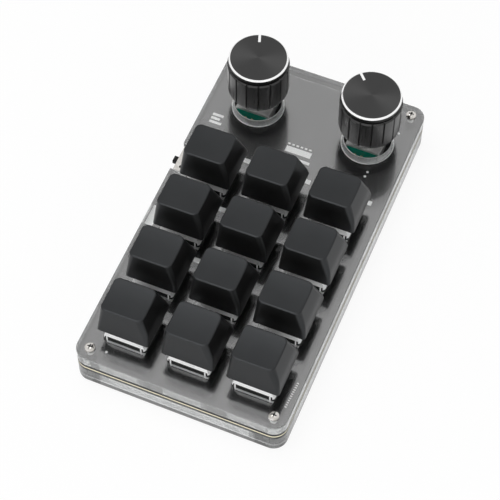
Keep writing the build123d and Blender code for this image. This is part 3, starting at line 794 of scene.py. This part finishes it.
def add_fronts(shape, centre):
    """The steep front and back of a cover, as two wedges."""
    for face in (-1, 1):
        corners = []
        for width, reach, height in (FRONT_FOOT, FRONT_HEAD):
            for depth in (reach, reach - FRONT_DEPTH):
                for side in (-1, 1):
                    spot = (centre.x + side * width, centre.y + face * depth, plate_top + height)
                    corners.append(shape.verts.new(spot))
        for ring in WEDGE_FACES:
            shape.faces.new([corners[i] for i in ring])
    bmesh.ops.recalc_face_normals(shape, faces=shape.faces)


for name, add_part, finish, slot in (
    ("switch_rims", add_rim, switch_black, "switch_black"),
    ("cover_clips", add_clips, switch_milky, "switch_clear"),
    ("cover_fronts", add_fronts, switch_milky, "switch_clear"),
):
    shape = bmesh.new()
    for centre in switch_centres.values():
        add_part(shape, centre)
    piece = finish_piece(shape, name, [finish], "base")
    print(name, len(piece.data.polygons), "faces")

# %% [markdown]
# ## The dials' finishes
# A dial is turned from aluminium, fluted, and anodised black. Then the rim of its top is cut once more,
# which lays the bright metal bare as a thin ring, and a pointer is milled and filled with white. The top
# is spun, so its finest scratches run in rings, and its sheen fans out from the middle: an anisotropic
# shader with a radial tangent does that.

# %% Finishes of the dials


def make_black_anodised():
    """Black anodised aluminium, with faint upright lines on the grip."""
    finish, tree, shader = start_finish("black_anodised", IOR=1.5)
    lines = object_noise(tree, scale=300.0, stretch=(12, 12, 0.3))
    vary(tree, shader, lines, colours=greys(0.009, 0.011), rough=(0.27, 0.3))
    raise_bumps(tree, shader, lines, strength=0.05, depth=0.004 * MM)
    return finish


def make_spun_top(name, centre):
    """The dial's turned top: rings of fine cuts about the dial's axis."""
    finish, tree, shader = start_finish(name, IOR=1.5, Anisotropic=0.8)
    mapping = tree.nodes.new("ShaderNodeMapping")
    mapping.inputs["Location"].default_value = (-centre[0], -centre[1], 0)
    tree.links.new(object_place(tree), mapping.inputs["Vector"])
    rings = tree.nodes.new("ShaderNodeTexWave")
    rings.wave_type = "RINGS"
    rings.rings_direction = "Z"
    rings.inputs["Scale"].default_value = 700.0
    rings.inputs["Distortion"].default_value = 0.4
    tree.links.new(mapping.outputs["Vector"], rings.inputs["Vector"])
    cuts = rings.outputs["Fac"]
    vary(tree, shader, cuts, colours=greys(0.01, 0.015), rough=(0.34, 0.44), start=0.0, end=1.0)
    tangent = tree.nodes.new("ShaderNodeTangent")
    tangent.direction_type = "RADIAL"
    tangent.axis = "Z"
    tree.links.new(tangent.outputs["Tangent"], shader.inputs["Tangent"])
    raise_bumps(tree, shader, cuts, strength=0.1, depth=0.01 * MM)
    return finish


black_anodised = make_black_anodised()
# Painted shade for the groove and the collar, which little light reaches.
painted_groove_shade = make_moulded(
    "painted_groove_shade", greys(0.002, 0.003), rough=(0.4, 0.5), grain=2000.0, depth=0.005 * MM, IOR=1.3
)
cut_aluminium = make_metal("cut_aluminium", greys(0.88, 0.96), rough=(0.16, 0.26), stretch=(1, 1, 8))
white_fill = make_moulded(
    "white_fill", greys(0.93, 0.97), rough=(0.4, 0.5), grain=2000.0, depth=0.01 * MM, IOR=1.5
)
print("dial finishes ready")

# %% [markdown]
# ## The dials' section
# The body of a dial is one outline turned on a lathe: a rounded foot, a straight grip, a dark groove and a
# collar. Its heights are counted down from the top of the solid. Its radius is the solid's and a little
# more, because the grip of the real dial looks fuller than a plain cylinder with flutes cut into it.

# %% Draw the section
RING_DROP = 0.55 * MM
COLLAR_HEIGHT = 1.5 * MM
GROOVE_HEIGHT = 0.8 * MM
GRIP_EDGE = 0.5 * MM
GRIP_FULLNESS = 0.3 * MM
FOOT_HEIGHT = 2.2 * MM
FOOT_INSET = 0.55 * MM
COLLAR_INSET = 0.45 * MM
GROOVE_INSET = 0.85 * MM
RIM_ROUND = 0.15 * MM
BORE_RADIUS = 4.5 * MM
TOP_SKIN = 0.04 * MM


def grip_outline(radius, crown, low, high):
    """The half section of a dial's body, from its bore round the outside to its top."""
    collar_top = high.z - RING_DROP
    groove_top = collar_top - COLLAR_HEIGHT
    grip_top = groove_top - GROOVE_HEIGHT
    return [
        (BORE_RADIUS, low.z),
        (radius - FOOT_INSET - RIM_ROUND, low.z),
        (radius - FOOT_INSET, low.z + RIM_ROUND),
        (radius - FOOT_INSET / 4, low.z + FOOT_HEIGHT / 2),
        (radius, low.z + FOOT_HEIGHT),
        (radius, grip_top - GRIP_EDGE),
        (radius - GRIP_EDGE, grip_top),
        (radius - GROOVE_INSET, grip_top),
        (radius - GROOVE_INSET, groove_top),
        (radius - COLLAR_INSET - RIM_ROUND, groove_top),
        (radius - COLLAR_INSET, groove_top + RIM_ROUND),
        (radius - COLLAR_INSET, collar_top),
        (crown, collar_top),
        (crown, high.z - TOP_SKIN),
        (BORE_RADIUS, high.z - TOP_SKIN),
    ]


dials = {}
for side in sides:
    low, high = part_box(f"dial_{side}")
    centre = ((low.x + high.x) / 2, (low.y + high.y) / 2)
    radius = (high.x - low.x) / 2 + GRIP_FULLNESS
    crown = radius - COLLAR_INSET - RING_DROP
    dials[side] = (centre, radius, crown, low, high)
    print("dial", side, "radius", round(radius / MM, 2), "mm, of its top", round(crown / MM, 2), "mm")

# %% [markdown]
# ## The dials' grips
# The outline is turned into a body, and the flutes are made by pulling every few columns of points inwards,
# which is quicker than cutting sixteen slots and leaves clean edges. The groove and the collar above the
# grip are coloured blacker as painted shade, because little light reaches them.

# %% Turn the grips
FLUTES = 16
STEPS_PER_FLUTE = 12
FLUTE_DEPTH = 0.45 * MM


def make_grip(side, centre, radius, crown, low, high):
    """The fluted black body of a dial, hollow round its shaft."""
    shape = bmesh.new()
    add_lathe(shape, grip_outline(radius, crown, low, high), centre, FLUTES * STEPS_PER_FLUTE)
    grip_top = high.z - RING_DROP - COLLAR_HEIGHT - GROOVE_HEIGHT
    grip_radius = radius - FOOT_INSET - RIM_ROUND / 2
    for vert in shape.verts:
        flat = Vector((vert.co.x - centre[0], vert.co.y - centre[1]))
        column = round(math.atan2(flat.y, flat.x) / (2 * math.pi) * FLUTES * STEPS_PER_FLUTE)
        on_grip = flat.length > grip_radius and vert.co.z < grip_top + RIM_ROUND / 2
        if on_grip and column % STEPS_PER_FLUTE == 0:
            pulled = flat * (1 - FLUTE_DEPTH / flat.length)
            vert.co.x = centre[0] + pulled.x
            vert.co.y = centre[1] + pulled.y
    # Faces above the grip get the painted shade of the groove and the collar.
    for face in shape.faces:
        face.material_index = 1 if face.calc_center_median().z > grip_top - RIM_ROUND / 2 else 0
    finishes = [black_anodised, painted_groove_shade]
    piece = finish_piece(shape, f"dial_grip_{side}", finishes, f"dial_{side}")
    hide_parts(f"dial_{side}")


for side, dial in dials.items():
    make_grip(side, *dial)
print("grips with", FLUTES, "flutes on", len(dials), "dials")

# %% [markdown]
# ## The dials' tops
# The top is a thin disc of its own, so that it can have the spun finish. The bright ring lies on the slope
# round it, and the pointer is a white block let into it.

# %% Fit the tops
TOP_STEPS = 128
POINTER_LENGTH = 3.2 * MM
POINTER_WIDTH = 0.9 * MM
POINTER_ANGLES = {"left": math.radians(20), "right": math.radians(43)}


def make_top_disc(side, centre, crown, high):
    """The spun disc in the top of a dial."""
    disc = bmesh.new()
    flat = Matrix.Translation((centre[0], centre[1], high.z - TOP_SKIN))
    bmesh.ops.create_circle(disc, cap_ends=True, segments=TOP_STEPS, radius=crown, matrix=flat)
    rim = bmesh.ops.extrude_face_region(disc, geom=list(disc.faces))
    raised = [v for v in rim["geom"] if isinstance(v, bmesh.types.BMVert)]
    bmesh.ops.translate(disc, vec=(0, 0, TOP_SKIN / 2), verts=raised)
    bmesh.ops.recalc_face_normals(disc, faces=disc.faces)
    finish = make_spun_top(f"spun_top_{side}", centre)
    finish_piece(disc, f"dial_top_{side}", [finish], f"dial_{side}")


def make_ring(side, centre, crown, high):
    """The bright slope round the top of a dial."""
    ring = bmesh.new()
    outer, foot = crown + RING_DROP, high.z - RING_DROP
    outline = [
        (crown, high.z),
        (outer, foot),
        (outer - TOP_SKIN, foot - TOP_SKIN),
        (crown - TOP_SKIN, high.z - TOP_SKIN),
    ]
    add_lathe(ring, outline, centre, TOP_STEPS)
    finish_piece(ring, f"dial_ring_{side}", [cut_aluminium], f"dial_{side}")


def make_pointer(side, centre, crown, high):
    """The white pointer in the top of a dial."""
    pointer = bmesh.new()
    low_corner = (-POINTER_WIDTH / 2, crown - POINTER_LENGTH, high.z - TOP_SKIN)
    add_block(pointer, low_corner, (POINTER_WIDTH / 2, crown, high.z))
    turn = Matrix.Rotation(POINTER_ANGLES[side], 3, "Z")
    bmesh.ops.rotate(pointer, cent=(0, 0, 0), matrix=turn, verts=pointer.verts)
    bmesh.ops.translate(pointer, vec=(centre[0], centre[1], 0), verts=pointer.verts)
    finish_piece(pointer, f"dial_pointer_{side}", [white_fill], f"dial_{side}")


for side, (centre, _, crown, _, high) in dials.items():
    for make_part in (make_top_disc, make_ring, make_pointer):
        make_part(side, centre, crown, high)
print("tops, rings and pointers fitted to", len(dials), "dials")

# %% [markdown]
# ## The layout of the print
# Boards carry white printing. Here it is plain: a solid block under a row of dashes, three bars, a few
# dots, a line of ticks at the right edge, a ring round each encoder and a pad beside some of the keys,
# which all say nothing. All the straight marks are rectangles, so they are first laid out as a list of
# corners, in the board's own plane.

# %% Lay out the print
BLOCK_LOW = (-4.1 * MM, 35.7 * MM)
BLOCK_HIGH = (5.6 * MM, 38.2 * MM)
DASHES = 6
DASH_SHARE = 0.6
DASH_ROW = 38.9 * MM
DASH_HEIGHT = 0.7 * MM
BARS_LOW = (-34.2 * MM, 36.9 * MM)
BAR_LENGTHS = [4.6 * MM, 3.4 * MM, 4.2 * MM]
BAR_PITCH = 1.7 * MM
BAR_HEIGHT = 1.1 * MM
TICKS = 12
TICK_START = Vector((34.4 * MM, -59.5 * MM))
TICK_END = Vector((34.9 * MM, -49.9 * MM))
TICK_LENGTH = 0.8 * MM
TICK_WIDTH = 0.4 * MM
PAD_KEYS = ["r1c1", "r1c2", "r1c3", "r2c1", "r3c1"]
PAD_LOW = Vector((7.0 * MM, 10.6 * MM))
PAD_HIGH = Vector((9.3 * MM, 12.5 * MM))
EDGE_PADS = [
    ((-37.8 * MM, -11.9 * MM), (-34.8 * MM, -3.5 * MM)),
    ((1.9 * MM, 32.9 * MM), (6.3 * MM, 34.1 * MM)),
]

marks = [(BLOCK_LOW, BLOCK_HIGH), *EDGE_PADS]
pitch = (BLOCK_HIGH[0] - BLOCK_LOW[0]) / DASHES
for step in range(DASHES):
    start = BLOCK_LOW[0] + step * pitch
    marks.append(((start, DASH_ROW), (start + pitch * DASH_SHARE, DASH_ROW + DASH_HEIGHT)))
for step, length in enumerate(BAR_LENGTHS):
    y = BARS_LOW[1] + step * BAR_PITCH
    marks.append(((BARS_LOW[0], y), (BARS_LOW[0] + length, y + BAR_HEIGHT)))
for step in range(TICKS):
    at = TICK_START.lerp(TICK_END, step / (TICKS - 1))
    marks.append(((at.x, at.y), (at.x + TICK_LENGTH, at.y + TICK_WIDTH)))
for key in PAD_KEYS:
    marks.append((switch_centres[key] + PAD_LOW, switch_centres[key] + PAD_HIGH))
print("straight marks:", len(marks))

# %% [markdown]
# ## White print on the board
# The ink of a print is a thin skin on the lacquer, under the film of air. It could be a mask in the board's
# shader, but each mark as a real skin keeps its edge crisp from close by. Dots are flat cylinders and rings
# are turned on the lathe.

# %% Print the board
PRINT_SKIN = 0.01 * MM
DOTS = [(-28.3 * MM, -63.4 * MM), (31.1 * MM, 58.4 * MM), (26.7 * MM, 38.4 * MM), (26.5 * MM, 36.3 * MM)]
DOT_RADIUS = 0.5 * MM
DOT_STEPS = 16
RING_RADIUS = 9.2 * MM
RING_WIDTH = 0.45 * MM

shape = bmesh.new()
base, top = board_high.z, board_high.z + PRINT_SKIN
for low, high in marks:
    add_block(shape, (*low, base), (*high, top))
for x, y in DOTS:
    bmesh.ops.create_cone(
        shape, cap_ends=True, segments=DOT_STEPS, radius1=DOT_RADIUS, radius2=DOT_RADIUS,
        depth=PRINT_SKIN, matrix=Matrix.Translation((x, y, (base + top) / 2)),
    )
ring_outline = [
    (RING_RADIUS, base),
    (RING_RADIUS + RING_WIDTH, base),
    (RING_RADIUS + RING_WIDTH, top),
    (RING_RADIUS, top),
]
for centre, *_ in dials.values():
    add_lathe(shape, ring_outline, centre, ROUND_STEPS)
board_print = finish_piece(shape, "board_print", [white_fill], "base")
print("print with", len(DOTS), "dots:", len(board_print.data.polygons), "faces")
